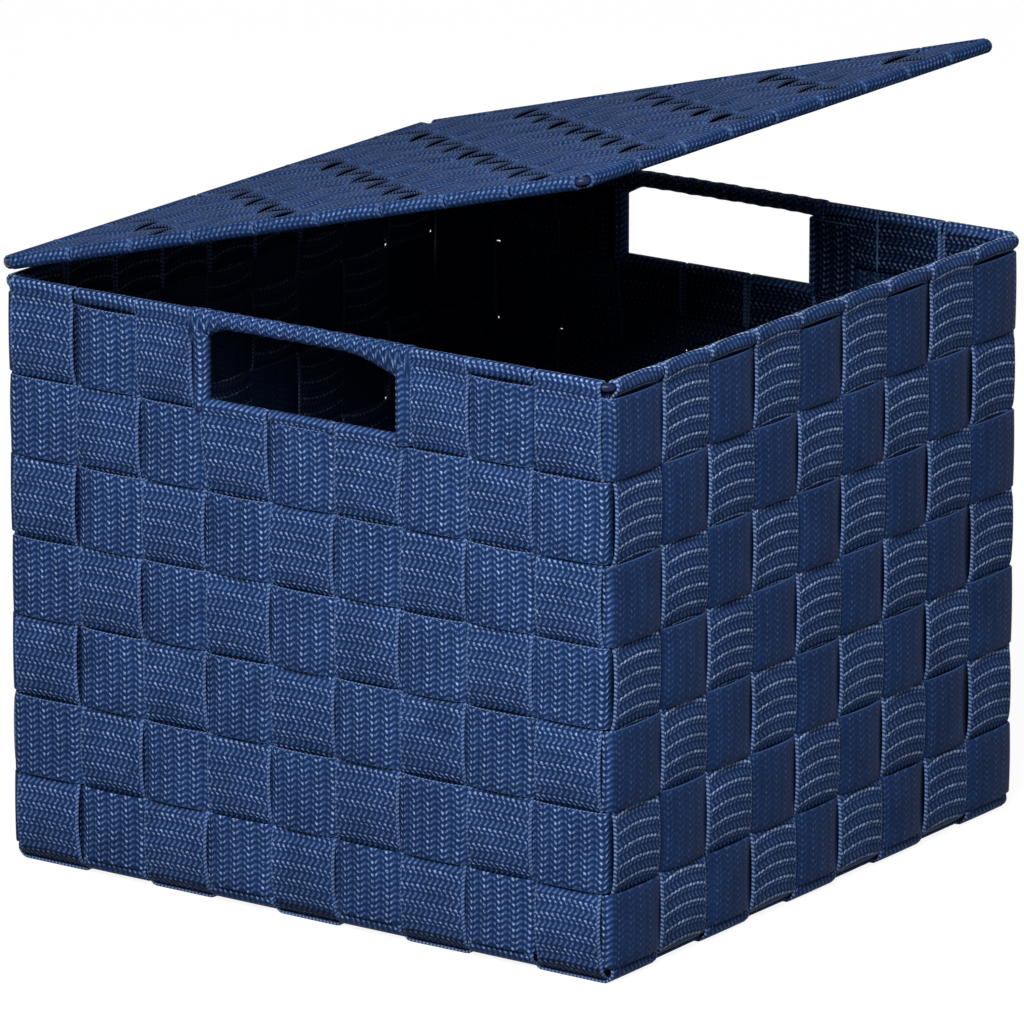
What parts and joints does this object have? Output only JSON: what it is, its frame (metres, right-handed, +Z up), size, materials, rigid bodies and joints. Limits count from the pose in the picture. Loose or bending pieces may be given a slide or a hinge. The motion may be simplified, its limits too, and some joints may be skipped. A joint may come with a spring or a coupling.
{
  "type": "fabric storage basket",
  "caption": "Square open-top storage basket of interlaced flat webbing straps on a wire frame, with hand slots in two walls and a hinged woven lid.",
  "frame": {"origin": "middle of the underside of the basket, on the floor plane", "axes": "+Z up, the front wall with its hand slot towards -Y, the lid's hinge on the -X side, so the lid's free edge lies towards +X"},
  "size_m": [0.2967, 0.2942, 0.3191],
  "materials": {
    "webbing": "woven navy synthetic webbing, slight sheen",
    "wire_paint": "gloss navy paint on steel wire",
    "cord": "navy cord"
  },
  "bodies": {
    "basket": {"front_back_strap_1": "webbing", "front_back_strap_2": "webbing", "front_back_strap_3": "webbing", "front_back_strap_4": "webbing", "front_back_strap_5": "webbing", "front_back_strap_6": "webbing", "front_back_strap_7": "webbing", "front_back_strap_8": "webbing", "front_back_strap_9": "webbing", "side_side_strap_1": "webbing", "side_side_strap_2": "webbing", "side_side_strap_3": "webbing", "side_side_strap_4": "webbing", "side_side_strap_5": "webbing", "side_side_strap_6": "webbing", "side_side_strap_7": "webbing", "side_side_strap_8": "webbing", "side_side_strap_9": "webbing", "hoop_2": "webbing", "hoop_3": "webbing", "hoop_4": "webbing", "hoop_5": "webbing", "hoop_6": "webbing", "hoop_7": "webbing", "hoop_1_right": "webbing", "hoop_1_left": "webbing", "rim_wire": "wire_paint", "base_wire": "wire_paint", "post_front_right": "wire_paint", "post_back_right": "wire_paint", "post_back_left": "wire_paint", "post_front_left": "wire_paint", "slot_wire_front": "wire_paint", "slot_wire_back": "wire_paint", "grip_front": "webbing", "grip_back": "webbing", "hinge_tie_1": "cord", "hinge_tie_2": "cord", "hinge_tie_3": "cord", "hinge_tie_4": "cord"},
    "lid": {"lid_long_strap_1": "webbing", "lid_long_strap_2": "webbing", "lid_long_strap_3": "webbing", "lid_long_strap_4": "webbing", "lid_long_strap_5": "webbing", "lid_long_strap_6": "webbing", "lid_long_strap_7": "webbing", "lid_long_strap_8": "webbing", "lid_long_strap_9": "webbing", "lid_cross_strap_1": "webbing", "lid_cross_strap_2": "webbing", "lid_cross_strap_3": "webbing", "lid_cross_strap_4": "webbing", "lid_cross_strap_5": "webbing", "lid_cross_strap_6": "webbing", "lid_cross_strap_7": "webbing", "lid_cross_strap_8": "webbing", "lid_cross_strap_9": "webbing", "lid_wire": "wire_paint"}
  },
  "joints": [
    {"name": "lid_hinge", "type": "hinge", "parent": "basket", "child": "lid", "pos_m": [-0.1462, 0, 0.2444], "axis": [0, -1, 0], "range_deg": [-14.5, 215.5]}
  ]
}
